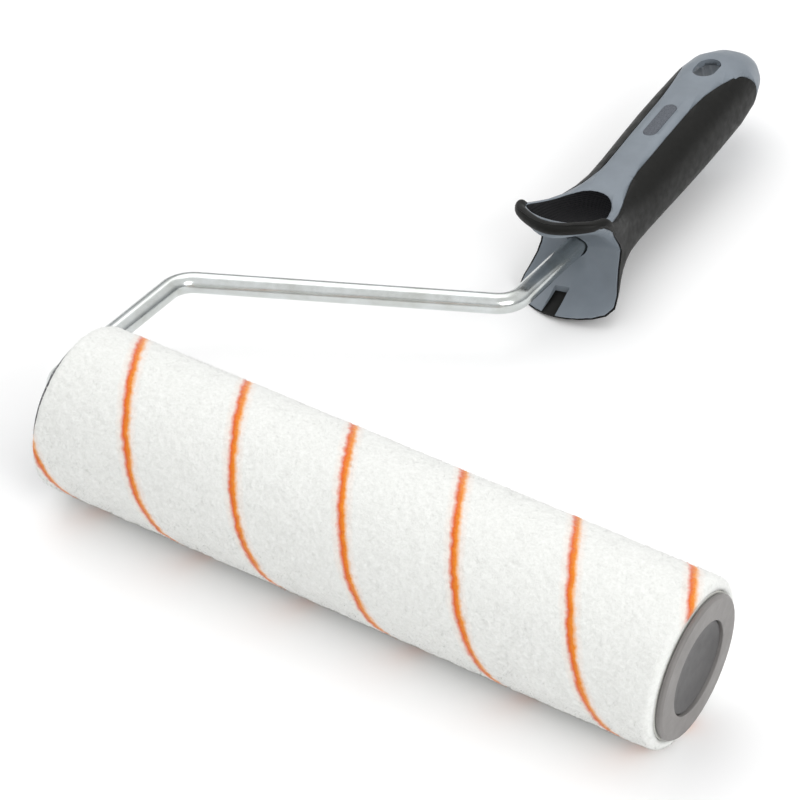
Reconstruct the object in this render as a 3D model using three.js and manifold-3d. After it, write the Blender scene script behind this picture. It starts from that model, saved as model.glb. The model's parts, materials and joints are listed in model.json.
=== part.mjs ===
// Paint roller with a push-fit sleeve: a bent steel rod carries a spinning sleeve cartridge
// at one end and a two-component soft-grip handle at the other.
//
// The pieces are drawn in millimetres in the plane of the bent rod: X runs along the roller axis
// towards the free end, Y from the roller towards the handle, Z is up, and the origin is the middle
// of the roller. The finished group is then laid down so that sleeve and handle both rest on Z = 0.
import * as THREE from "three";
import { mergeVertices } from "three/addons/utils/BufferGeometryUtils.js";
import Module from "manifold-3d";

const wasm = await Module();
wasm.setup();

// ---------------------------------------------------------------- driving dimensions
const GAP = 0.3; // free space between pieces that touch on the bench

const SLEEVE_HALF = 115; // half the length of the sleeve
const PILE_RADIUS = 29.2;
const CORE_BORE_RADIUS = 22;
const CORE_WALL = 1.6;
const BACKING = 0.9; // woven ground of the pile fabric

const ROD_RADIUS = 3.8;
const ROD_BORE_RADIUS = 4.2; // holes that the rod passes through
const ROD_BEND_RADIUS = 11; // on the centreline
const AXLE_TIP_X = 106;
const ARM_X = -130; // side arm of the frame, beyond the inner end of the sleeve
const ARM_CORNER = { x: -129.5, y: 79.4 };
const SHANK_CORNER_Y = 136.4;
const SHANK_X = -27; // the shank and the handle share this line
const SHANK_END_Y = 234;
const SHANK_WING = 1.3; // the end of the shank is pressed flat so that it can't turn
const SHANK_FLAT = 0.72;

const FLANGE_RADIUS = 24.4; // end cap
const FLANGE = 2;
const SPIGOT_LENGTH = 20;
const SPIGOT_WALL = 2;
const SOCKET_RADIUS = 16; // recess in the face of the end cap
const SOCKET_DEPTH = 6.5;
const WEB = 2;
const HUB_WALL = 1.8;
const BUSH_RADIUS = 6.6;
const BUSH_FLANGE_RADIUS = 9;
const RUNNING_GAP = 0.4; // between the bushes and the hubs that turn on them

const HANDLE_FRONT = 158; // tip of the thumb lip
const HANDLE_END = 312.8;
const HANDLE_ROLL = 8.5; // degrees that the handle is turned round the shank
const MOUTH_Y = 183; // deepest point of the concave front face
const REST_TILT = 3.5; // degrees between the rod's plane and the surface it lies on

const SIDES = 40; // facets round the turned sleeve pieces
const SMALL_SIDES = 24; // facets round the rod and the pieces on it
const BEND_STEP = 0.17; // radians of bend per facet of the rod

// ---------------------------------------------------------------- materials
function plastic(color, roughness) {
  return new THREE.MeshStandardMaterial({ color, roughness, metalness: 0 });
}

function steel(color, roughness) {
  return new THREE.MeshStandardMaterial({ color, roughness, metalness: 1 });
}

const zincSteel = () => steel(0xc9cfcb, 0.28);
const greyPlastic = () => plastic(0x929ca5, 0.55);
const badgePlastic = () => plastic(0x71777f, 0.6);
const blackRubber = () => plastic(0x2d2d2a, 0.75);
const capPlastic = () => plastic(0x8f8c8a, 0.5);
const discPlastic = () => plastic(0x6b6b6c, 0.6);
const whiteNylon = () => plastic(0xe9e7df, 0.45);
const corePlastic = () => plastic(0xd8d9d6, 0.5);
const pileFabric = () => plastic(0xf2f3f1, 1);

// ---------------------------------------------------------------- solids
/** Moves every vertex of a geometry with the given function. */
function reshape(geometry, move) {
  const position = geometry.getAttribute("position");
  const vertex = new THREE.Vector3();
  for (let i = 0; i < position.count; i += 1) {
    vertex.fromBufferAttribute(position, i);
    move(vertex);
    position.setXYZ(i, vertex.x, vertex.y, vertex.z);
  }
  return geometry;
}

/** A closed geometry as a manifold solid that can be joined and cut. */
function solidOf(geometry) {
  const bare = new THREE.BufferGeometry();
  bare.setAttribute("position", geometry.getAttribute("position"));
  bare.setIndex(geometry.index);
  const merged = mergeVertices(bare, 1e-4);
  return new wasm.Manifold(
    new wasm.Mesh({
      numProp: 3,
      vertProperties: new Float32Array(merged.getAttribute("position").array),
      triVerts: new Uint32Array(merged.index.array),
    }),
  );
}

/** The biggest body of a solid, without the crumbs that a cut can leave. */
function mainBody(solid) {
  return solid.decompose().reduce((a, b) => (a.volume() > b.volume() ? a : b));
}

/** The geometry of a manifold solid. */
function geometryOf(solid) {
  const { vertProperties, triVerts } = solid.getMesh();
  const geometry = new THREE.BufferGeometry();
  geometry.setAttribute("position", new THREE.BufferAttribute(vertProperties, 3));
  geometry.setIndex(new THREE.BufferAttribute(triVerts, 1));
  geometry.computeVertexNormals();
  return geometry;
}

function piece(name, geometry, material) {
  const mesh = new THREE.Mesh(geometry, material);
  mesh.name = name;
  return mesh;
}

/** A solid turned round the roller axis from a profile of [x, radius] points. */
function turned(profile, sides = SIDES) {
  const points = profile.map(([x, radius]) => new THREE.Vector2(radius, x));
  return new THREE.LatheGeometry(points, sides).rotateZ(-Math.PI / 2);
}

/** The closed profile of a ring of rectangular section. */
function ringProfile(xFrom, xTo, innerRadius, outerRadius) {
  return [
    [xFrom, innerRadius],
    [xFrom, outerRadius],
    [xTo, outerRadius],
    [xTo, innerRadius],
    [xFrom, innerRadius],
  ];
}

/** A profile mirrored to the other end of the sleeve, with its direction kept. */
function mirrorProfile(profile) {
  return profile.map(([x, radius]) => [-x, radius]).reverse();
}

/** A solid disc or cylinder with its axis on the shank. */
function onShank(radius, yFrom, yTo) {
  const cylinder = new THREE.CylinderGeometry(radius, radius, yTo - yFrom, SMALL_SIDES);
  return solidOf(cylinder.translate(0, (yFrom + yTo) / 2, 0));
}

// ---------------------------------------------------------------- steel rod frame
/** Stations along the arc that joins two straight runs of the rod. */
function bendStations(corner, before, after) {
  const turn = Math.atan2(before.cross(after), before.dot(after));
  const trim = ROD_BEND_RADIUS * Math.tan(Math.abs(turn) / 2);
  const start = corner.clone().addScaledVector(before, -trim);
  const inward = new THREE.Vector2(-before.y, before.x).multiplyScalar(Math.sign(turn));
  const centre = start.clone().addScaledVector(inward, ROD_BEND_RADIUS);
  const steps = Math.ceil(Math.abs(turn) / BEND_STEP);
  const stations = [];
  for (let k = 0; k <= steps; k += 1) {
    const angle = (turn * k) / steps;
    const point = start.clone().rotateAround(centre, angle);
    const direction = before.clone().rotateAround(new THREE.Vector2(), angle);
    stations.push({ point, direction, wide: 1, thick: 1 });
  }
  return stations;
}

/** The rod's centreline as stations, each with a direction and how wide and thick it is. */
function rodStations() {
  const corners = [
    new THREE.Vector2(AXLE_TIP_X, 0),
    new THREE.Vector2(ARM_X, 0),
    new THREE.Vector2(ARM_CORNER.x, ARM_CORNER.y),
    new THREE.Vector2(SHANK_X, SHANK_CORNER_Y),
    new THREE.Vector2(SHANK_X, SHANK_END_Y),
  ];
  const inward = new THREE.Vector2(-1, 0);
  const axle = (distance, size) => ({
    point: new THREE.Vector2(AXLE_TIP_X - distance, 0),
    direction: inward,
    wide: size,
    thick: size,
  });
  const shank = (distance, wide, thick) => ({
    point: new THREE.Vector2(SHANK_X, SHANK_END_Y - distance),
    direction: new THREE.Vector2(0, 1),
    wide,
    thick,
  });

  const chamferedTip = [axle(0, 0.78), axle(1.2, 1)];
  const snapGroove = [axle(4, 1), axle(4.5, 0.86), axle(6.5, 0.86), axle(7, 1)];
  const flattenedEnd = [
    shank(17, 1, 1),
    shank(13, SHANK_WING, SHANK_FLAT),
    shank(1.5, SHANK_WING, SHANK_FLAT),
    shank(0, SHANK_WING * 0.9, SHANK_FLAT * 0.8),
  ];
  const bends = corners.slice(1, -1).flatMap((corner, i) => {
    const before = corner.clone().sub(corners[i]).normalize();
    const after = corners[i + 2].clone().sub(corner).normalize();
    return bendStations(corner, before, after);
  });
  return [...chamferedTip, ...snapGroove, ...bends, ...flattenedEnd];
}

/** The rod: a straight cylinder whose rows of vertices are moved to the stations. */
function rodGeometry() {
  const stations = rodStations();
  const rows = stations.length - 1;
  const straight = new THREE.CylinderGeometry(1, 1, rows, SMALL_SIDES, rows);
  return reshape(straight, (v) => {
    const { point, direction, wide, thick } = stations[Math.round(v.y + rows / 2)];
    const across = v.x * ROD_RADIUS * wide;
    const height = v.z * ROD_RADIUS * thick;
    v.set(point.x + direction.y * across, point.y - direction.x * across, height);
  });
}

// ---------------------------------------------------------------- handle form
// The handle is one smooth form. Each section across it has a crown and a keel height above the
// shank axis, half-widths at the crown wing, the waist and the keel wing, a squareness above and
// below, and how far the edges of the thumb rest stand above its middle.
const FORM_X = 2; // the form sits slightly to the free side of the shank
const SIDE_SET_BACK = 25; // how far the front rim lies behind the lip at the sides
const KEEL_SET_BACK = 3;
const SET_BACK_FADE = 60; // length over which the curved front rim straightens
const SECTIONS = [
  { y: 158, crown: 21.8, keel: -18, top: 23.4, waist: 16.4, low: 27.4, crest: 4.6, square: 4, dish: 1.4 },
  { y: 165, crown: 20, keel: -16.6, top: 23.9, waist: 16, low: 25, crest: 4.6, square: 3.8, dish: 1.4 },
  { y: 175, crown: 17.5, keel: -14, top: 22.8, waist: 15.6, low: 19.8, crest: 4, square: 3.4, dish: 1.2 },
  { y: 190, crown: 15.6, keel: -10.8, top: 18.4, waist: 14.8, low: 15, crest: 3, square: 2.8, dish: 0.6 },
  { y: 210, crown: 16.6, keel: -9.4, top: 14.8, waist: 14.4, low: 14, crest: 2.5, square: 2.5, dish: 0 },
  { y: 230, crown: 19.5, keel: -7.8, top: 14.6, waist: 14.8, low: 14.6, crest: 2.5, square: 2.5, dish: 0 },
  { y: 255, crown: 22.7, keel: -5, top: 15, waist: 15.3, low: 15.3, crest: 2.6, square: 2.6, dish: 0 },
  { y: 280, crown: 25.2, keel: -2, top: 15, waist: 15.2, low: 15.2, crest: 2.6, square: 2.6, dish: 0 },
  { y: 295, crown: 26.5, keel: 0, top: 15.4, waist: 15.8, low: 15.6, crest: 2.2, square: 2.3, dish: 0 },
  { y: 312, crown: 25, keel: 1.5, top: 15, waist: 15.6, low: 15.2, crest: 2.05, square: 2.1, dish: 0 },
];
const SECTION_KEYS = ["crown", "keel", "top", "waist", "low", "crest", "square", "dish"];
const sectionLaw = new THREE.CubicInterpolant(
  SECTIONS.map((section) => section.y),
  SECTIONS.flatMap((section) => SECTION_KEYS.map((key) => section[key])),
  SECTION_KEYS.length,
);

function sectionAt(y) {
  const values = sectionLaw.evaluate(y);
  return Object.fromEntries(SECTION_KEYS.map((key, i) => [key, values[i]]));
}

/** How far behind its nominal Y a point near the front rim lies, by its angle round the section. */
function setBack(angle, y) {
  const height = Math.sin(angle);
  const fade = Math.max(0, 1 - (y - HANDLE_FRONT) / SET_BACK_FADE);
  const sides = SIDE_SET_BACK * (1 - Math.abs(height) ** 1.5);
  const keel = height < 0 ? KEEL_SET_BACK * -height : 0;
  return (sides + keel) * fade * fade;
}

/** The point of the skin at an angle round the section, inset at the crown, sides and keel. */
function skinPoint(angle, y, inset) {
  const section = sectionAt(y);
  const thin = THREE.MathUtils.lerp(inset.rimShare, 1, THREE.MathUtils.smoothstep(y, HANDLE_FRONT, 190));
  const c = Math.cos(angle);
  const s = Math.sin(angle);
  const n = s > 0 ? section.crest : section.square;
  const reach = (Math.abs(c) ** n + Math.abs(s) ** n) ** (-1 / n);
  const height = s * reach;
  const wing = height > 0 ? section.top : section.low;
  const half = section.waist + (wing - section.waist) * Math.abs(height) ** 2.5 - inset.side * thin;
  const middle = (section.crown + section.keel) / 2;
  const crown = section.crown - inset.crown;
  const keel = section.keel + inset.keel * thin;
  const rise = height > 0 ? crown - middle : middle - keel;
  const across = c * reach;
  const dish = section.dish * across * across * Math.max(0, height);
  const z = middle + height * rise + dish;
  return new THREE.Vector3(FORM_X + across * half, y + setBack(angle, y), z);
}

const HANDLE_SIDES = 40;
const SKIN_STATIONS = [158, 161, 165, 170, 176, 183, 191, 200, 210, 222, 236, 252, 266, 276, 284];
const TAIL_DOME = 29;
const LIP_THICKNESS = 0.25; // blunt front of the thumb lip, as a share of the crown height
const RIM_THICKNESS = 0.05; // the same for the sides and the keel
const FORWARD = 12; // how far the inner forms run out of the front face

/** Rows of the domed tail end: the section shrinks along a quarter of an ellipse. */
function tailRows(inset) {
  const dome = TAIL_DOME - inset;
  const start = HANDLE_END - TAIL_DOME;
  const rows = [20, 40, 58, 72, 83].map((degrees) => {
    const angle = THREE.MathUtils.degToRad(degrees);
    return { scale: Math.cos(angle), y: start + dome * Math.sin(angle) };
  });
  return [...rows, { scale: 0, y: start + dome }];
}

/** Rows of the concave front face, each with its share of the section and of the rim's depth. */
function scoopRows() {
  const row = (scale) => ({ scale, y: HANDLE_FRONT, depth: scale ** 2 });
  return [0, 0.25, 0.5, 0.7, 0.87, 1].map(row);
}

/** Share of the section where the scoop starts: the rim round it is blunt, most at the lip. */
function scoopShare(angle) {
  const up = Math.max(0, Math.sin(angle));
  return 1 - THREE.MathUtils.lerp(RIM_THICKNESS, LIP_THICKNESS, up ** 0.5);
}

/** Rows that carry a form straight on in front of the face. */
function forwardRows() {
  return [0, 1].map((scale) => ({ scale, y: HANDLE_FRONT - FORWARD }));
}

/** A closed handle form: each row of a unit lathe is moved on to the section at its Y. */
function handleForm(inset, frontRows) {
  const skin = SKIN_STATIONS.map((y) => ({ scale: 1, y }));
  const rows = [...frontRows, ...skin, ...tailRows(inset.side)];
  const profile = rows.map(({ scale }, i) => new THREE.Vector2(scale, i));
  const lathe = new THREE.LatheGeometry(profile, HANDLE_SIDES);
  const form = reshape(lathe, (v) => {
    const { scale, y, depth } = rows[Math.round(v.y)];
    const angle = Math.atan2(v.z, v.x);
    const rim = skinPoint(angle, y, inset);
    const { crown, keel } = sectionAt(y);
    const scooped = depth !== undefined;
    const middle = scooped ? 0 : (crown + keel) / 2;
    const share = scooped ? scale * scoopShare(angle) : scale;
    const place = scooped ? MOUTH_Y + (rim.y - MOUTH_Y) * depth : rim.y;
    v.set(FORM_X + (rim.x - FORM_X) * share, place, middle + (rim.z - middle) * share);
  });
  return solidOf(form);
}

// ---------------------------------------------------------------- handle outlines in plan
const OUTLINE_STEPS = 7; // points per curve of an outline
const STRIP_HALF = 6.6; // half the width of the hard strip along the grip
const STRIP_TAIL_HALF = 10.8;
const KEEL_STRIP_HALF = 11.8;
const TAIL_Y = 283; // from here on the whole section is hard, but for the panels' round ends
const PANEL_END = { z: 11.8, length: 11.4, height: 10.4 }; // half ellipse that ends a soft panel
const LIP_BAND = 3.6; // width of the soft lip in front of the thumb rest
const PAD_RIM = 1.9; // width of the hard rim round the thumb pad
const PAD_END_Y = 196;
const BADGE = { y: 244.5, length: 21, width: 5.5, depth: 1.2 };
const HANG_HOLE = { y: 282.3, length: 13, width: 9 };
// The hollow under the tail leaves a thin plate round the hang hole and flares towards the end.
const POCKET = { y: 286.5, length: 25, width: 15.5, plate: 2, flare: 1.8, spread: 1.35 };

/** Closes an outline, drawn on the +X side only, with its mirror image. */
function mirrored(half) {
  const points = half.getPoints(OUTLINE_STEPS);
  const back = points.filter((p) => p.x > 1e-6).map((p) => new THREE.Vector2(-p.x, p.y));
  const all = [...points, ...back.reverse()];
  return new THREE.Shape(all.map((p) => p.setX(p.x + FORM_X)));
}

/** Hard top strip: thumb rest, grip strip and tail, grown by an offset. */
function stripOutline(offset) {
  const tip = HANDLE_FRONT + LIP_BAND - offset;
  const corner = new THREE.Vector2(17.2 + offset, HANDLE_FRONT + 11);
  const rear = new THREE.Vector2(15.2 + offset, HANDLE_FRONT + 24);
  const neck = STRIP_HALF + offset;
  const tail = STRIP_TAIL_HALF + offset;
  const half = new THREE.Path();
  half.moveTo(0, tip);
  half.bezierCurveTo(9, tip, corner.x - 4, corner.y - 6, corner.x, corner.y);
  half.bezierCurveTo(corner.x + 1.4, corner.y + 4, rear.x + 1.5, rear.y - 5, rear.x, rear.y);
  half.bezierCurveTo(rear.x - 3.2, rear.y + 11, neck + 0.4, 204, neck, 214);
  half.lineTo(neck + 0.3, 255);
  half.bezierCurveTo(neck + 0.8, 270, tail - 1.2, 276, tail, TAIL_Y);
  half.lineTo(tail, TAIL_Y + 5);
  half.lineTo(0, TAIL_Y + 5);
  return mirrored(half);
}

/** Hard strip on the underside of the tail, round the hollow under the hang hole. */
function keelStripOutline(offset) {
  const front = 266 - offset;
  const side = KEEL_STRIP_HALF + offset;
  const half = new THREE.Path();
  half.moveTo(0, front);
  half.bezierCurveTo(7, front, side, front + 7, side, TAIL_Y);
  half.lineTo(side, TAIL_Y + 5);
  half.lineTo(0, TAIL_Y + 5);
  return mirrored(half);
}

/** Side view, as (y, z), of the hard tail, with the bay that the soft side panels end in. */
function tailSideOutline(offset) {
  const start = TAIL_Y - offset;
  const end = HANDLE_END + 5;
  const outline = new THREE.Shape();
  outline.moveTo(start, -60);
  outline.lineTo(end, -60);
  outline.lineTo(end, 60);
  outline.lineTo(start, 60);
  const { z, length, height } = PANEL_END;
  const top = Math.PI / 2;
  outline.absellipse(TAIL_Y, z, length - offset, height - offset, top, -top, true);
  outline.lineTo(start, z - height + offset);
  return outline;
}

/** Thumb pad: a rounded triangle with its broad side at the lip. */
function padOutline(offset) {
  const tip = HANDLE_FRONT + LIP_BAND + PAD_RIM - offset;
  const corner = new THREE.Vector2(14.6 + offset, HANDLE_FRONT + 11.8);
  const rear = PAD_END_Y + offset;
  const half = new THREE.Path();
  half.moveTo(0, tip);
  half.bezierCurveTo(8, tip, corner.x - 4, corner.y - 5, corner.x, corner.y);
  half.bezierCurveTo(corner.x + 1, corner.y + 2, 14.4 + offset, 176, 12.6 + offset, 181);
  half.bezierCurveTo(9.4 + offset, rear - 6, 7, rear, 0, rear);
  return mirrored(half);
}

/** A slot with round ends along the handle. */
function slotOutline(y, length, width) {
  const radius = width / 2;
  const reach = length / 2 - radius;
  const half = new THREE.Path();
  half.absarc(0, y - reach, radius, -Math.PI / 2, 0, false);
  half.absarc(0, y + reach, radius, 0, Math.PI / 2, false);
  return mirrored(half);
}

/** A plan outline raised between two heights. */
function raised(shape, bottom, top) {
  const block = new THREE.ExtrudeGeometry(shape, { depth: top - bottom, bevelEnabled: false });
  return solidOf(block.translate(0, 0, bottom));
}

// ---------------------------------------------------------------- handle pieces
// The soft overmould is thinner at the sides and keel of the front rim than further back.
const NO_INSET = { crown: 0, side: 0, keel: 0, rimShare: 1 };
const RUBBER = { crown: 2.4, side: 2, keel: 1.4, rimShare: 0.2 };
const RUBBER_AND_GAP = {
  crown: RUBBER.crown + GAP,
  side: RUBBER.side + GAP,
  keel: RUBBER.keel + GAP,
  rimShare: 0.32,
};
const STRIP_DEPTH = 4; // the hard strip reaches this far below the crown
const KEEL_STRIP_DEPTH = 2.6; // and this far above the keel
const PAD_DEPTH = 2;
const MOUTH_RADIUS = 4.3; // bore for the rod, in front of the liner
const LINER = { radius: 5.2, from: 186, to: 214 };
const NOTCH = { x: -0.8, width: 6, from: 150, to: 172.5, floor: -24, top: -4 };

/** A plan outline raised from a depth below the crown to well above it. */
function crownCutter(shape, depth) {
  const floor = handleForm({ ...NO_INSET, crown: depth }, forwardRows());
  return raised(shape, 5, 60).subtract(floor);
}

/** The hard parts of the skin, grown by an offset: top strip, keel strip and tail. */
function hardSkin(offset) {
  const keelFloor = handleForm({ ...NO_INSET, keel: KEEL_STRIP_DEPTH + offset }, forwardRows());
  const keelStrip = raised(keelStripOutline(offset), -60, 8).subtract(keelFloor);
  const width = 60;
  const sideShape = tailSideOutline(offset);
  const block = new THREE.ExtrudeGeometry(sideShape, { depth: width, bevelEnabled: false });
  // The outline's axes (y, z) and the extrusion become the handle's Y, Z and X.
  const tail = reshape(block, (v) => v.set(v.z - width / 2, v.x, v.y));
  return crownCutter(stripOutline(offset), STRIP_DEPTH + offset).add(keelStrip).add(solidOf(tail));
}

/** Height of the crown above the shank axis, with the dome of the tail. */
function crownHeight(y) {
  const { crown, keel } = sectionAt(y);
  const past = Math.max(0, y - (HANDLE_END - TAIL_DOME)) / TAIL_DOME;
  const middle = (crown + keel) / 2;
  return middle + (crown - middle) * Math.sqrt(Math.max(0, 1 - past * past));
}

/** The hollow under the tail: its roof follows the crown and its rear wall leans back. */
function pocketSolid() {
  const shape = slotOutline(POCKET.y, POCKET.length, POCKET.width);
  const front = POCKET.y - POCKET.length / 2;
  const block = new THREE.ExtrudeGeometry(shape, { depth: 1, bevelEnabled: false });
  return solidOf(
    reshape(block, (v) => {
      if (v.z < 0.5) {
        const x = FORM_X + (v.x - FORM_X) * POCKET.spread;
        v.set(x, front + (v.y - front) * POCKET.flare, -12);
      } else {
        v.z = crownHeight(v.y) - POCKET.plate;
      }
    }),
  );
}

function handlePieces() {
  const form = handleForm(NO_INSET, scoopRows());
  const clear = GAP / 2;

  const rubber = form.subtract(handleForm(RUBBER, forwardRows())).subtract(hardSkin(clear));

  const padRecess = crownCutter(padOutline(clear), PAD_DEPTH + GAP);
  const pad = form.intersect(crownCutter(padOutline(-clear), PAD_DEPTH));

  const badgePocket = slotOutline(BADGE.y, BADGE.length, BADGE.width);
  const badgeShape = slotOutline(BADGE.y, BADGE.length - GAP, BADGE.width - GAP);
  const badgeRecess = crownCutter(badgePocket, BADGE.depth + GAP);
  const badge = form.intersect(crownCutter(badgeShape, BADGE.depth));
  const hangHole = raised(slotOutline(HANG_HOLE.y, HANG_HOLE.length, HANG_HOLE.width), -60, 60);

  const { x, from, to, floor, top } = NOTCH;
  const notchBlock = new THREE.BoxGeometry(NOTCH.width, to - from, top - floor);
  const notch = solidOf(notchBlock.translate(x, (from + to) / 2, (floor + top) / 2));

  const core = form
    .intersect(handleForm(RUBBER_AND_GAP, forwardRows()))
    .add(form.intersect(hardSkin(-clear)))
    .subtract(padRecess)
    .subtract(badgeRecess)
    .subtract(pocketSolid())
    .subtract(hangHole)
    .subtract(notch)
    .subtract(onShank(MOUTH_RADIUS, HANDLE_FRONT - FORWARD, LINER.from))
    .subtract(onShank(LINER.radius + GAP, LINER.from - GAP, SHANK_END_Y + 3));

  const liner = onShank(LINER.radius, LINER.from, LINER.to).subtract(
    onShank(ROD_BORE_RADIUS, LINER.from - 1, LINER.to + 1),
  );

  return [
    piece("handle_core", geometryOf(mainBody(core)), greyPlastic()),
    piece("grip_overmould", geometryOf(mainBody(rubber)), blackRubber()),
    piece("thumb_pad", geometryOf(pad), blackRubber()),
    piece("badge_inlay", geometryOf(badge), badgePlastic()),
    piece("shank_liner", geometryOf(liner), blackRubber()),
  ];
}

// ---------------------------------------------------------------- sleeve cartridge
const END = SLEEVE_HALF; // X of the free end of the sleeve
const WEB_FROM = END + FLANGE - SOCKET_DEPTH - WEB;
const HUB_BORE_RADIUS = BUSH_RADIUS + RUNNING_GAP;

/** Flange, spigot, web and hub of an end cap, for the free end. */
function capProfile() {
  const face = END + GAP + FLANGE;
  const spigotRadius = CORE_BORE_RADIUS - GAP;
  const hubRadius = HUB_BORE_RADIUS + HUB_WALL;
  return [
    [END - SPIGOT_LENGTH + 2, HUB_BORE_RADIUS],
    [END - SPIGOT_LENGTH + 2, hubRadius],
    [WEB_FROM, hubRadius],
    [WEB_FROM, spigotRadius - SPIGOT_WALL],
    [END - SPIGOT_LENGTH, spigotRadius - SPIGOT_WALL],
    [END - SPIGOT_LENGTH, spigotRadius - 0.6],
    [END - SPIGOT_LENGTH + 1.5, spigotRadius],
    [END + GAP, spigotRadius],
    [END + GAP, FLANGE_RADIUS],
    [face - 0.6, FLANGE_RADIUS],
    [face, FLANGE_RADIUS - 0.6],
    [face, SOCKET_RADIUS],
    [WEB_FROM + WEB, SOCKET_RADIUS],
    [WEB_FROM + WEB, HUB_BORE_RADIUS],
    [END - SPIGOT_LENGTH + 2, HUB_BORE_RADIUS],
  ];
}

/** Bearing bush that slides on the rod and carries the hub, for the free end. */
function bushProfile() {
  const flangeFrom = WEB_FROM + WEB + GAP;
  return [
    [END - SPIGOT_LENGTH + 1, ROD_BORE_RADIUS],
    [END - SPIGOT_LENGTH + 1, BUSH_RADIUS],
    [flangeFrom, BUSH_RADIUS],
    [flangeFrom, BUSH_FLANGE_RADIUS],
    [flangeFrom + 1.4, BUSH_FLANGE_RADIUS],
    [flangeFrom + 1.4, ROD_BORE_RADIUS],
    [END - SPIGOT_LENGTH + 1, ROD_BORE_RADIUS],
  ];
}

/** Dished disc that closes the socket of the free end. */
function discProfile() {
  const radius = SOCKET_RADIUS - GAP;
  const back = WEB_FROM + WEB + 2.2;
  return [
    [back, 0],
    [back, radius],
    [END + 1.3, radius],
    [END + 1.3, radius - 1],
    [END + 0.5, radius - 3],
    [END, radius - 8],
    [END - 0.2, 0],
  ];
}

/** Pile of the sleeve, with the clipped and rounded edge at both ends. */
function pileProfile() {
  const ground = CORE_BORE_RADIUS + CORE_WALL + BACKING + 2 * GAP;
  const edge = [
    [END, PILE_RADIUS - 2.2],
    [END - 0.8, PILE_RADIUS - 0.8],
    [END - 2.6, PILE_RADIUS],
  ];
  const outside = [...mirrorProfile(edge).reverse(), ...edge.reverse()];
  return [[-END, ground], ...outside, [END, ground], [-END, ground]];
}

/** Pieces that turn together. */
function cartridgePieces() {
  const coreOuter = CORE_BORE_RADIUS + CORE_WALL;
  const backingInner = coreOuter + GAP;
  return [
    piece("pile_cover", turned(pileProfile()), pileFabric()),
    piece(
      "fabric_backing",
      turned(ringProfile(-END, END, backingInner, backingInner + BACKING)),
      pileFabric(),
    ),
    piece("core_tube", turned(ringProfile(-END, END, CORE_BORE_RADIUS, coreOuter)), corePlastic()),
    piece("outer_end_cap", turned(capProfile()), capPlastic()),
    piece("inner_end_cap", turned(mirrorProfile(capProfile())), capPlastic()),
    piece("outer_cap_disc", turned(discProfile()), discPlastic()),
  ];
}

/** Pieces that slide off the rod with the cartridge but don't turn. */
function carrierPieces() {
  const tubeEnd = END - SPIGOT_LENGTH + 1 - GAP;
  const tube = ringProfile(-tubeEnd, tubeEnd, ROD_BORE_RADIUS + 0.2, BUSH_RADIUS - 0.8);
  return [
    piece("outer_bush", turned(bushProfile(), SMALL_SIDES), whiteNylon()),
    piece("inner_bush", turned(mirrorProfile(bushProfile()), SMALL_SIDES), whiteNylon()),
    piece("spindle_tube", turned(tube, SMALL_SIDES), corePlastic()),
  ];
}

/** Pressed washer that stops the cartridge short of the bend. */
function stopWasher() {
  const face = -(WEB_FROM + WEB + GAP + 1.4 + GAP);
  return turned(ringProfile(face - 1, face, ROD_BORE_RADIUS, BUSH_FLANGE_RADIUS - 1), SMALL_SIDES);
}

// ---------------------------------------------------------------- assembly
const handle = new THREE.Group();
handle.position.x = SHANK_X;
handle.rotation.y = -THREE.MathUtils.degToRad(HANDLE_ROLL);
handle.add(...handlePieces());

const roller = new THREE.Group();
roller.rotation.x = -THREE.MathUtils.degToRad(REST_TILT);
roller.add(piece("wire_frame", rodGeometry(), zincSteel()));
roller.add(piece("stop_washer", stopWasher(), zincSteel()));
roller.add(...carrierPieces(), ...cartridgePieces(), handle);

const part = new THREE.Group();
part.add(roller);

// The origin is the middle of the footprint, on the surface that the roller lies on.
const extent = new THREE.Box3().setFromObject(part, true);
const middle = extent.getCenter(new THREE.Vector3());
roller.position.set(-middle.x, -middle.y, -extent.min.z);

export default part;
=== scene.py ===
"""Looks of a paint roller: striped pile sleeve, zinc rod frame and two-component handle.

Lengths are in metres unless a comment says otherwise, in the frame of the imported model. Pieces
that turn with the sleeve are drawn in the roller's own axes: X along the roller axis, with the
origin in its middle.
"""

import bpy
import bmesh
import json
import math
import random
from mathutils import Matrix, Vector, noise


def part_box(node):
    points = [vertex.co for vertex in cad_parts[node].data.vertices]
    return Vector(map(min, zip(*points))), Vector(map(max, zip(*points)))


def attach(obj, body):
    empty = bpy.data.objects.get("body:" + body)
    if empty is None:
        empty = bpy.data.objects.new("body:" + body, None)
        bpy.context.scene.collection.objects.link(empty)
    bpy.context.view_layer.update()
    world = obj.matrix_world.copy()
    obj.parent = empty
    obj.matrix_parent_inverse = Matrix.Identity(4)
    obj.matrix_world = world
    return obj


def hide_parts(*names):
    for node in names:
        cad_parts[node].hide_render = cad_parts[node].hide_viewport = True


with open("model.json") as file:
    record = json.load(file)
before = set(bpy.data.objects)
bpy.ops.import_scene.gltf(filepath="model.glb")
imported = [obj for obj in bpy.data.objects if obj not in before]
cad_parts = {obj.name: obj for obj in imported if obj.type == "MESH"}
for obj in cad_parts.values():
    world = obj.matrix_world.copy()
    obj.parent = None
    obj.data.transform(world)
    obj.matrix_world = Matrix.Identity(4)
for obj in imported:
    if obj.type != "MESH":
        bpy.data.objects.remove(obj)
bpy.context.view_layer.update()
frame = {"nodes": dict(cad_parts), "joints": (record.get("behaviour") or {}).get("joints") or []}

# ---------------------------------------------------------------- dimensions
MM = 0.001
REST_TILT = math.radians(3.5)  # the rod's plane against the surface it lies on
SPIN = next(j for j in frame["joints"] if j["name"] == "roller_spin")
ROLLER = Matrix.Translation(SPIN["pos_m"]) @ Matrix.Rotation(-REST_TILT, 4, "X")

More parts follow.
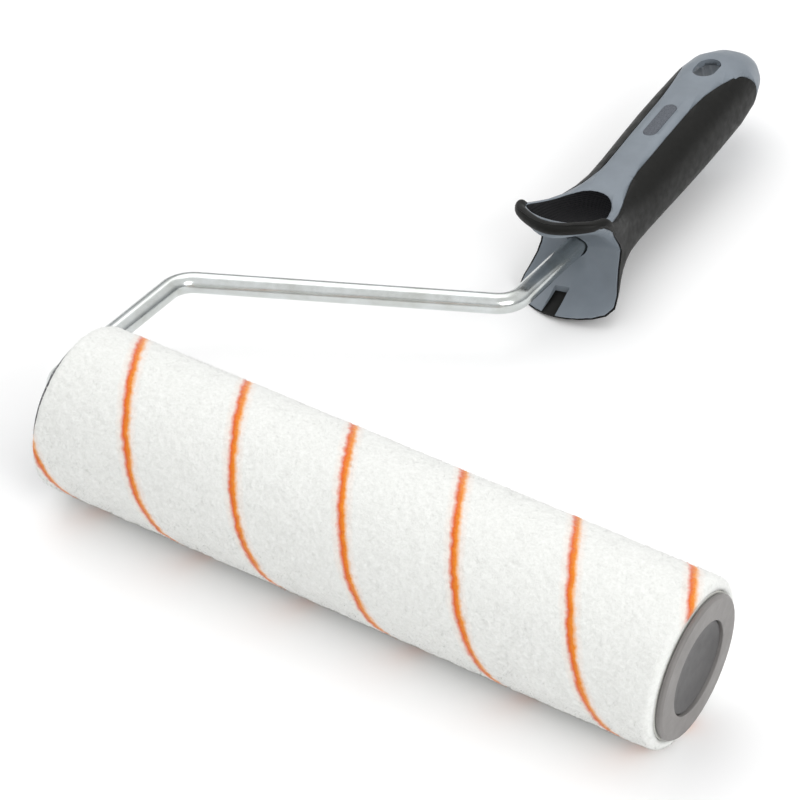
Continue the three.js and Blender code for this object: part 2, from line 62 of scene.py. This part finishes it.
SLEEVE_HALF = 115 * MM
PILE_RADIUS = 29.2 * MM
PILE_GROUND_RADIUS = 25.2 * MM
STRIPE_PITCH = 82 * MM  # advance of one stripe in a turn
STRIPE_STARTS = 2
STRIPE_PHASE = 9.2 * MM  # place of a stripe along the axis where it faces the handle
STRIPE_WIDTH = 3.1 * MM
STRIPE_WOBBLE = 0.55 * MM

MERGE_DISTANCE = 0.02 * MM
FLAT_ANGLE = math.radians(0.6)  # faces nearer than this are joined
BEVEL_ANGLE = math.radians(25)  # edges sharper than this are rounded
BEVEL_SEGMENTS = 3
AREA_WEIGHT = 60  # how far large faces lead the shading normals
# Edges sharper than these angles, in degrees, stay sharp in the smooth shading.
TURNED_CREASE = 40
MOULDED_CREASE = 32
ROD_CREASE = 40
BEAD_CREASE = 50

RIB_SPACING = 1.5 * MM
RIB_DEPTH = 0.35 * MM
RIB_CENTRE_AHEAD = 30 * MM  # the ribs' centre, in front of the thumb pad

CAMERA_PLACE = (0.4434, -0.87736, 0.78466)
CAMERA_TURN = (50.617, -1.514, 31.409)  # degrees
CAMERA_LENS = 160.1  # millimetres, as is the sensor
CAMERA_SENSOR = 36

FLOOR_HALF = 6.0
SKY_STRENGTH = 0.95
# Height above the horizon, as the direction's Z, and the sky's colour there.
SKY = (
    (0.0, (0.16, 0.17, 0.18, 1)),
    (0.2, (0.5, 0.51, 0.52, 1)),
    (0.55, (1, 1, 1, 1)),
)
# Place, side and power in watts of each softbox.
SOFTBOXES = {
    "key": ((-0.7, 0.5, 1.5), 1.6, 9),
    "fill": ((1.3, -0.6, 0.9), 0.9, 9),
}

random.seed(7)


# ---------------------------------------------------------------- node helpers
class Shader:
    """A material's node tree, with short calls to add and join nodes."""

    def __init__(self, name):
        self.material = bpy.data.materials.new(name)
        self.material.use_nodes = True
        self.nodes = self.material.node_tree.nodes
        self.links = self.material.node_tree.links
        self.surface = self.nodes["Principled BSDF"]

    def add(self, kind, inputs=None, **settings):
        """A new node with its inputs fed and its properties set."""
        node = self.nodes.new(kind)
        for key, value in settings.items():
            setattr(node, key, value)
        for key, value in (inputs or {}).items():
            self.feed(node.inputs[key], value)
        return node

    def feed(self, socket, value):
        """Links a socket to a socket or a node, or gives it a value."""
        if isinstance(value, bpy.types.NodeSocket):
            self.links.new(value, socket)
        elif isinstance(value, bpy.types.Node):
            self.links.new(value.outputs[0], socket)
        else:
            socket.default_value = value

    def set(self, **values):
        """Sets sockets of the surface, with _ for each space in a name."""
        for key, value in values.items():
            self.feed(self.surface.inputs[key.replace("_", " ")], value)

    def coordinates(self):
        return self.add("ShaderNodeTexCoord").outputs["Object"]

    def maths(self, operation, a, b=0.0):
        return self.add("ShaderNodeMath", {0: a, 1: b}, operation=operation).outputs[0]

    def noise(self, scale, detail=3.0, roughness=0.5, vector=None):
        """Noise between 0 and 1, of about scale features in a metre."""
        vector = vector or self.coordinates()
        inputs = {"Vector": vector, "Scale": scale, "Detail": detail, "Roughness": roughness}
        return self.add("ShaderNodeTexNoise", inputs).outputs["Fac"]

    def ramp(self, value, source, target=(0, 1)):
        """Maps the source range on to the target range, held at both ends."""
        inputs = {
            "Value": value,
            "From Min": source[0],
            "From Max": source[1],
            "To Min": target[0],
            "To Max": target[1],
        }
        return self.add("ShaderNodeMapRange", inputs).outputs[0]

    def mix(self, share, a, b):
        """Mixes two colours: a at share 0, b at share 1."""
        node = self.add("ShaderNodeMix", data_type="RGBA")
        self.feed(node.inputs["Factor"], share)
        self.feed(node.inputs[6], a)
        self.feed(node.inputs[7], b)
        return node.outputs[2]

    def bump(self, height, strength, distance):
        """Bumps the surface by a height between 0 and 1, which stands for the distance."""
        inputs = {"Height": height, "Strength": strength, "Distance": distance}
        self.feed(self.surface.inputs["Normal"], self.add("ShaderNodeBump", inputs))


def rgb(red, green, blue):
    """A colour given in display values from 0 to 255, as a linear colour."""

    def linear(value):
        value /= 255
        return value / 12.92 if value <= 0.04045 else ((value + 0.055) / 1.055) ** 2.4

    return (linear(red), linear(green), linear(blue), 1)


# ---------------------------------------------------------------- materials
def moulded_plastic(name, colour, roughness=0.42):
    """Injection-moulded plastic: spark texture, faint mottling and scuffs."""
    s = Shader(name)
    mottle = s.ramp(s.noise(60, 4, 0.6), (0.3, 0.7), (0.9, 1.08))
    scaled = s.add("ShaderNodeVectorMath", {0: colour[:3], "Scale": mottle}, operation="SCALE")
    fine = s.noise(2600, 2, 0.6)
    scuffs = s.ramp(s.noise(220, 5, 0.6), (0.3, 0.7), (roughness - 0.06, roughness + 0.08))
    s.set(Base_Color=scaled.outputs[0])
    s.set(Roughness=scuffs)
    s.set(Specular_IOR_Level=0.35)
    s.bump(fine, 0.25, 0.05 * MM)
    return s.material


def soft_rubber(name, colour, roughness):
    """Soft overmould: matt, slightly dusty, with a fine pebble."""
    s = Shader(name)
    dust = s.ramp(s.noise(35, 5, 0.65), (0.35, 0.75), (0, 0.4))
    dusty = tuple(c * 1.6 + 0.002 for c in colour[:3]) + (1,)
    s.set(Base_Color=s.mix(dust, colour, dusty))
    s.set(Roughness=s.ramp(s.noise(300, 3), (0.3, 0.7), (roughness - 0.05, roughness + 0.1)))
    s.set(Sheen_Weight=0.01, Sheen_Roughness=0.5, IOR=1.3)
    s.bump(s.noise(1900, 3, 0.6), 0.3, 0.06 * MM)
    return s.material


def zinc_plate():
    """Bright zinc on drawn steel rod, faintly clouded, with uneven gloss."""
    s = Shader("zinc_plate")
    cloud = s.ramp(s.noise(90, 4, 0.6), (0.35, 0.7))
    s.set(Metallic=1.0)
    s.set(Base_Color=s.mix(cloud, rgb(212, 216, 216), rgb(190, 193, 189)))
    s.set(Roughness=s.ramp(s.noise(400, 5, 0.7), (0.3, 0.7), (0.17, 0.26)))
    s.bump(s.noise(700, 4, 0.6), 0.03, 0.05 * MM)
    return s.material


def pad_rubber():
    """Ribbed thumb pad: fine ribs in arcs round a point in front of the lip."""
    s = Shader("pad_rubber")
    s.set(Base_Color=s.mix(s.noise(80, 4), rgb(4, 4, 6), rgb(9, 9, 12)))
    s.set(Roughness=0.55, IOR=1.1)
    low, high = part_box("thumb_pad")
    centre = ((low[0] + high[0]) / 2, low[1] - RIB_CENTRE_AHEAD, 0)
    place = s.add("ShaderNodeVectorMath", {0: s.coordinates(), 1: centre}, operation="SUBTRACT")
    flat = s.add("ShaderNodeVectorMath", {0: place, 1: (1, 1, 0)}, operation="MULTIPLY")
    distance = s.add("ShaderNodeVectorMath", {0: flat}, operation="LENGTH").outputs["Value"]
    wave = s.maths("SINE", s.maths("MULTIPLY", distance, 2 * math.pi / RIB_SPACING))
    s.bump(s.ramp(wave, (-0.6, 0.6)), 0.8, RIB_DEPTH)
    return s.material


def badge_plastic():
    """Blank inlay with a fine spark texture."""
    s = Shader("badge_plastic")
    speckle = s.noise(2400, 3, 0.7)
    share = s.ramp(speckle, (0.35, 0.65))
    s.set(Base_Color=s.mix(share, rgb(56, 60, 68), rgb(94, 99, 107)))
    s.set(Roughness=0.6)
    s.bump(speckle, 0.5, 0.1 * MM)
    return s.material


def pile_fabric():
    """White pile with orange yarn stripes wound round it in a two-start helix.

    The stripes turn from red-orange on one side to yellow-orange on the other, and a faint pink
    halo of stray fibres lies beside them.
    """
    s = Shader("pile_fabric")
    place = s.coordinates()
    unevenness = s.noise(330, 3, 0.6, place)
    wobble = s.ramp(unevenness, (0.25, 0.75), (-STRIPE_WOBBLE, STRIPE_WOBBLE))
    axes = s.add("ShaderNodeSeparateXYZ", {0: place})
    turn = s.maths("ARCTAN2", axes.outputs["Z"], axes.outputs["Y"])
    advance = s.maths("MULTIPLY", turn, STRIPE_PITCH / (2 * math.pi))
    along = s.maths("SUBTRACT", axes.outputs["X"], advance)
    along = s.maths("ADD", along, wobble)
    spacing = STRIPE_PITCH / STRIPE_STARTS
    along = s.maths("SUBTRACT", along, STRIPE_PHASE - spacing / 2)
    across = s.maths("SUBTRACT", s.maths("FLOORED_MODULO", along, spacing), spacing / 2)
    off = s.maths("ABSOLUTE", across)
    core = s.ramp(off, (STRIPE_WIDTH * 0.22, STRIPE_WIDTH * 0.72), (1, 0))
    halo = s.ramp(off, (STRIPE_WIDTH * 0.45, STRIPE_WIDTH * 1.4), (0.2, 0))
    tuft = s.noise(900, 3, 0.7, place)
    white = s.mix(s.ramp(tuft, (0.3, 0.7)), rgb(223, 224, 220), rgb(236, 237, 234))
    side = s.ramp(across, (-STRIPE_WIDTH * 0.35, STRIPE_WIDTH * 0.5))
    orange = s.mix(side, rgb(214, 80, 4), rgb(236, 154, 12))
    haze = s.mix(halo, white, rgb(250, 170, 120))
    s.set(Base_Color=s.mix(core, haze, orange))
    s.set(Roughness=0.95, Sheen_Weight=0.35, Sheen_Roughness=0.6, Specular_IOR_Level=0.2)
    s.bump(tuft, 0.7, 0.5 * MM)
    return s.material


def woven_ground():
    """Woven ground of the pile, seen at the ends only."""
    s = Shader("woven_ground")
    weave = s.add("ShaderNodeTexWave", {"Vector": s.coordinates(), "Scale": 900, "Distortion": 2})
    s.set(Base_Color=s.mix(weave.outputs["Fac"], rgb(190, 190, 184), rgb(228, 228, 222)))
    s.set(Roughness=0.9)
    s.bump(weave.outputs["Fac"], 0.5, 0.1 * MM)
    return s.material


# ---------------------------------------------------------------- carried-over pieces
def copied(node):
    """A bmesh of a CAD node with its doubled vertices merged."""
    mesh = bmesh.new()
    mesh.from_mesh(frame["nodes"][node].data)
    bmesh.ops.remove_doubles(mesh, verts=mesh.verts, dist=MERGE_DISTANCE)
    return mesh


def finished(name, mesh, body, material, nodes=(), place=None):
    """Turns a bmesh into a piece that rides on a body and stands for CAD nodes."""
    data = bpy.data.meshes.new(name)
    mesh.to_mesh(data)
    mesh.free()
    data.materials.append(material)
    piece = bpy.data.objects.new(name, data)
    bpy.context.scene.collection.objects.link(piece)
    if place is not None:
        piece.matrix_world = place
        bpy.context.view_layer.update()
    if nodes:
        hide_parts(*nodes)
    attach(piece, body)
    return piece


def skin(mesh, rings):
    """Faces between each ring of vertices and the next."""
    for a, b in zip(rings, rings[1:]):
        for j in range(len(a)):
            k = (j + 1) % len(a)
            mesh.faces.new((a[j], a[k], b[k], b[j]))


def shade(piece, degrees):
    """Smooth shading, but for edges sharper than the angle."""
    piece.data.shade_smooth()
    piece.data.set_sharp_from_angle(angle=math.radians(degrees))


def turned_copy(node, body, material, edge):
    """A turned CAD piece with flat faces joined, edges rounded by a width and smooth sides."""
    mesh = copied(node)
    bmesh.ops.dissolve_limit(mesh, angle_limit=FLAT_ANGLE, verts=mesh.verts, edges=mesh.edges)
    piece = finished(node + "_visual", mesh, body, material, [node])
    bevel = piece.modifiers.new("edges", "BEVEL")
    bevel.width = edge
    bevel.segments = BEVEL_SEGMENTS
    bevel.limit_method = "ANGLE"
    bevel.angle_limit = BEVEL_ANGLE
    bevel.harden_normals = False
    shade(piece, TURNED_CREASE)
    return piece


def moulded_copy(node, body, material, degrees=MOULDED_CREASE):
    """A moulded CAD piece with smooth shading across its facets."""
    piece = finished(node + "_visual", copied(node), body, material, [node])
    shade(piece, degrees)
    weighted = piece.modifiers.new("weighted", "WEIGHTED_NORMAL")
    weighted.mode = "FACE_AREA_WITH_ANGLE"
    weighted.weight = AREA_WEIGHT
    weighted.keep_sharp = True
    return piece


# ---------------------------------------------------------------- thumb lip
# The handle's axes: Y along the shank, Z towards the crown, as the form is rolled on the shank.
SHANK_X = -27 * MM
HANDLE_ROLL = math.radians(-8.5)
HANDLE = ROLLER @ Matrix.Translation((SHANK_X, 0, 0)) @ Matrix.Rotation(HANDLE_ROLL, 4, "Y")
# The front rim of the handle's form, in millimetres: where its middle and its foremost point lie,
# how far the sides lie behind that, its heights and half-widths, its squareness and its dish.
RIM = {
    "x": 2,
    "front": 158,
    "set_back": 25,
    "crown": 21.8,
    "keel": -18,
    "wing": 23.4,
    "waist": 16.4,
    "square": 4.6,
    "dish": 1.4,
}
BEAD_ENDS = (24, 156)  # degrees round the section
BEAD_STATIONS = 64
BEAD_SIDES = 14
BEAD_RADIUS = 2.3  # millimetres, as are the next three
BEAD_END_RADIUS = 0.9
BEAD_BACK = 1.3  # how far its middle line lies behind the rim
BEAD_PROUD = 0.15  # how far it stands above the rim
TANGENT_STEP = 0.01  # radians


def rim_point(angle):
    """The front rim at an angle round the section, from the free side over the crown."""
    across, up = math.cos(angle), math.sin(angle)
    square = RIM["square"]
    reach = (abs(across) ** square + up**square) ** (-1 / square)
    across, height = across * reach, up * reach
    half = RIM["waist"] + (RIM["wing"] - RIM["waist"]) * height**2.5
    middle = (RIM["crown"] + RIM["keel"]) / 2
    y = RIM["front"] + RIM["set_back"] * (1 - up**1.5)
    z = middle + height * (RIM["crown"] - middle) + RIM["dish"] * across**2 * height
    return Vector((RIM["x"] + across * half, y, z))


def lip_bead(material):
    """The rounded soft bead along the front edge of the thumb lip, thinner at both ends."""
    mesh = bmesh.new()
    rings = []
    start, end = (math.radians(a) for a in BEAD_ENDS)
    for i in range(BEAD_STATIONS + 1):
        share = i / BEAD_STATIONS
        angle = start + (end - start) * share
        tangent = rim_point(angle + TANGENT_STEP) - rim_point(angle - TANGENT_STEP)
        tangent.normalize()
        back = Vector((0, 1, 0))
        back = (back - tangent * tangent.dot(back)).normalized()
        outward = back.cross(tangent)
        if outward.dot(rim_point(angle)) < 0:
            outward = -outward
        full = math.sin(math.pi * share) ** 0.5
        radius = BEAD_END_RADIUS + (BEAD_RADIUS - BEAD_END_RADIUS) * full
        centre = rim_point(angle) - outward * (radius - BEAD_PROUD)
        centre += back * min(BEAD_BACK, radius)
        ring = []
        for j in range(BEAD_SIDES):
            turn = 2 * math.pi * j / BEAD_SIDES
            offset = outward * math.cos(turn) + back * math.sin(turn)
            ring.append(mesh.verts.new((centre + offset * radius) * MM))
        rings.append(ring)
    skin(mesh, rings)
    mesh.faces.new(rings[0])
    mesh.faces.new(rings[-1])
    bmesh.ops.recalc_face_normals(mesh, faces=mesh.faces)
    piece = finished("lip_bead", mesh, "frame", material, place=HANDLE)
    shade(piece, BEAD_CREASE)
    return piece


# ---------------------------------------------------------------- pile sleeve
PILE_ROWS = 330
PILE_COLUMNS = 260
PILE_CLIP = 0.5 * MM  # room left outside the ring for the fibres
PILE_EDGE = 2.6 * MM  # length and depth of the rounded edge at both ends
PILE_EDGE_DROP = 2.0 * MM
COARSE_TUFT = 6 * MM
COARSE_LIFT = 0.22
FINE_TUFT = 1.6 * MM
FINE_LIFT = 0.3
FIBRES = 60000
FIBRE_LENGTHS = (0.8, 1.5)  # millimetres
FIBRE_HALF_WIDTH = 0.06 * MM
FIBRE_ROOT = 0.5 * MM  # how deep a fibre starts
FIBRE_SPREAD = 0.35  # sideways lean against the outward direction
FIBRE_END_ZONE = 4 * MM  # near the ends the fibres lean outwards along the axis
FIBRE_END_LEAN = 0.9


def pile_radius(x):
    """Clipped outer radius along the sleeve, rounded at the ends."""
    past = max(0.0, abs(x) - (SLEEVE_HALF - PILE_EDGE)) / PILE_EDGE
    drop = PILE_EDGE_DROP * (1 - math.sqrt(max(0.0, 1 - past * past)))
    return PILE_RADIUS - PILE_CLIP - drop


def ring_point(x, angle, radius):
    """A point round the roller axis."""
    return Vector((x, radius * math.cos(angle), radius * math.sin(angle)))


def pile_sleeve(material):
    """The pile as a closed ring whose outside is broken up into small tufts."""
    mesh = bmesh.new()
    rings = []
    stations = [(-SLEEVE_HALF, PILE_GROUND_RADIUS, False)]
    for i in range(PILE_ROWS + 1):
        x = -SLEEVE_HALF + 2 * SLEEVE_HALF * i / PILE_ROWS
        stations.append((x, pile_radius(x), True))
    stations.append((SLEEVE_HALF, PILE_GROUND_RADIUS, False))
    for x, radius, tufted in stations:
        ring = []
        for j in range(PILE_COLUMNS):
            angle = 2 * math.pi * j / PILE_COLUMNS
            point = ring_point(x, angle, radius)
            if tufted:
                coarse = noise.noise(point / COARSE_TUFT)
                fine = noise.noise(point / FINE_TUFT)
                lift = (COARSE_LIFT * coarse + FINE_LIFT * fine) * MM
                point = ring_point(x, angle, radius + lift)
            ring.append(mesh.verts.new(point))
        rings.append(ring)
    skin(mesh, rings + rings[:1])
    bmesh.ops.recalc_face_normals(mesh, faces=mesh.faces)
    piece = finished("pile_visual", mesh, "cartridge", material, ["pile_cover"], ROLLER)
    piece.data.shade_smooth()
    return piece


def pile_fibres(material):
    """Loose ends of the pile: short tapered fibres that stand out of the tufts."""
    vertices = []
    faces = []
    normals = []
    for _ in range(FIBRES):
        x = random.uniform(-SLEEVE_HALF, SLEEVE_HALF)
        angle = random.uniform(0, 2 * math.pi)
        out = ring_point(0, angle, 1)
        around = Vector((0, -math.sin(angle), math.cos(angle)))
        end = max(0.0, abs(x) - (SLEEVE_HALF - FIBRE_END_ZONE)) / FIBRE_END_ZONE
        end_lean = math.copysign(end * FIBRE_END_LEAN, x)
        lean = Vector((end_lean + random.gauss(0, FIBRE_SPREAD), 0, 0))
        lean += around * random.gauss(0, FIBRE_SPREAD) + out
        lean.normalize()
        root = ring_point(x, angle, pile_radius(x) - FIBRE_ROOT)
        tip = root + lean * random.uniform(*FIBRE_LENGTHS) * MM
        side = lean.cross(out + around * 0.3).normalized() * FIBRE_HALF_WIDTH
        start = len(vertices)
        vertices += [root - side, root + side, tip]
        faces.append((start, start + 1, start + 2))
        shading = (out + lean * 0.3).normalized()
        normals += [shading, shading, shading]
    data = bpy.data.meshes.new("pile_fibres")
    data.from_pydata(vertices, [], faces)
    data.materials.append(material)
    data.shade_smooth()
    data.normals_split_custom_set_from_vertices(normals)
    piece = bpy.data.objects.new("pile_fibres", data)
    bpy.context.scene.collection.objects.link(piece)
    piece.matrix_world = ROLLER
    bpy.context.view_layer.update()
    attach(piece, "cartridge")
    return piece


# ---------------------------------------------------------------- stage
def add_floor():
    """Pale floor that the roller lies on."""
    data = bpy.data.meshes.new("floor")
    signs = [(-1, -1), (1, -1), (1, 1), (-1, 1)]
    corners = [(x * FLOOR_HALF, y * FLOOR_HALF, 0) for x, y in signs]
    data.from_pydata(corners, [], [(0, 1, 2, 3)])
    floor = bpy.data.objects.new("floor", data)
    s = Shader("floor")
    s.set(Base_Color=s.mix(s.noise(3, 2), (0.93, 0.93, 0.93, 1), (0.95, 0.95, 0.95, 1)))
    s.set(Roughness=0.9, Specular_IOR_Level=0.1)
    data.materials.append(s.material)
    bpy.context.scene.collection.objects.link(floor)


def add_sky():
    """World that is dark at the horizon and white overhead."""
    world = bpy.data.worlds.new("studio")
    world.use_nodes = True
    tree = world.node_tree
    direction = tree.nodes.new("ShaderNodeTexCoord")
    height = tree.nodes.new("ShaderNodeSeparateXYZ")
    ramp = tree.nodes.new("ShaderNodeValToRGB")
    ramp.color_ramp.interpolation = "EASE"
    stops = ramp.color_ramp.elements
    stops.new(SKY[1][0])  # between the two that a ramp starts with
    for stop, (place, colour) in zip(stops, SKY):
        stop.position, stop.color = place, colour
    background = tree.nodes["Background"]
    background.inputs["Strength"].default_value = SKY_STRENGTH
    tree.links.new(direction.outputs["Generated"], height.inputs[0])
    tree.links.new(height.outputs["Z"], ramp.inputs[0])
    tree.links.new(ramp.outputs[0], background.inputs["Color"])
    bpy.context.scene.world = world


def add_softboxes():
    """Square area lights, aimed at the origin."""
    for name, (place, size, power) in SOFTBOXES.items():
        light = bpy.data.lights.new(name, "AREA")
        light.shape = "SQUARE"
        light.size = size
        light.energy = power
        lamp = bpy.data.objects.new(name, light)
        lamp.location = place
        lamp.rotation_euler = (-Vector(place)).to_track_quat("-Z", "Y").to_euler()
        bpy.context.scene.collection.objects.link(lamp)


def add_camera():
    """Camera at the picture's viewpoint."""
    scene = bpy.context.scene
    lens = bpy.data.cameras.new("camera")
    lens.lens = CAMERA_LENS
    lens.sensor_width = CAMERA_SENSOR
    eye = bpy.data.objects.new("camera", lens)
    eye.location = CAMERA_PLACE
    eye.rotation_euler = [math.radians(a) for a in CAMERA_TURN]
    scene.collection.objects.link(eye)
    scene.camera = eye
    scene.view_settings.view_transform = "Standard"


# ---------------------------------------------------------------- the roller
def build():
    """Every piece of the roller, with its body and its material."""
    zinc = zinc_plate()
    grey = moulded_plastic("grey_plastic", rgb(122, 130, 138))
    black = soft_rubber("black_rubber", rgb(15, 15, 13), roughness=0.5)
    cap = moulded_plastic("cap_plastic", rgb(126, 123, 121))
    # Painted shade: the inner end cap is the same plastic as the outer cap, darkened to stand for
    # the shade on its flange edge.
    painted_shade_cap = moulded_plastic("painted_shade_cap_plastic", rgb(84, 84, 88))
    disc = moulded_plastic("disc_plastic", rgb(84, 83, 83), roughness=0.5)
    nylon = moulded_plastic("white_nylon", rgb(233, 231, 223), roughness=0.4)
    core = moulded_plastic("core_plastic", rgb(216, 217, 214), roughness=0.45)
    liner = moulded_plastic("liner_plastic", rgb(18, 18, 18), roughness=0.5)
    pile = pile_fabric()

    moulded_copy("wire_frame", "frame", zinc, ROD_CREASE)
    turned_copy("stop_washer", "frame", zinc, edge=0.15 * MM)
    moulded_copy("handle_core", "frame", grey)
    moulded_copy("grip_overmould", "frame", black)
    lip_bead(black)
    moulded_copy("thumb_pad", "frame", pad_rubber())
    moulded_copy("badge_inlay", "frame", badge_plastic())
    moulded_copy("shank_liner", "frame", liner)

    turned_copy("outer_bush", "carrier", nylon, edge=0.2 * MM)
    turned_copy("inner_bush", "carrier", nylon, edge=0.2 * MM)
    turned_copy("spindle_tube", "carrier", core, edge=0.15 * MM)

    turned_copy("fabric_backing", "cartridge", woven_ground(), edge=0.15 * MM)
    turned_copy("core_tube", "cartridge", core, edge=0.2 * MM)
    turned_copy("outer_end_cap", "cartridge", cap, edge=0.25 * MM)
    turned_copy("inner_end_cap", "cartridge", painted_shade_cap, edge=0.25 * MM)
    turned_copy("outer_cap_disc", "cartridge", disc, edge=0.3 * MM)
    pile_sleeve(pile)
    pile_fibres(pile)


add_floor()
add_sky()
add_softboxes()
add_camera()
build()
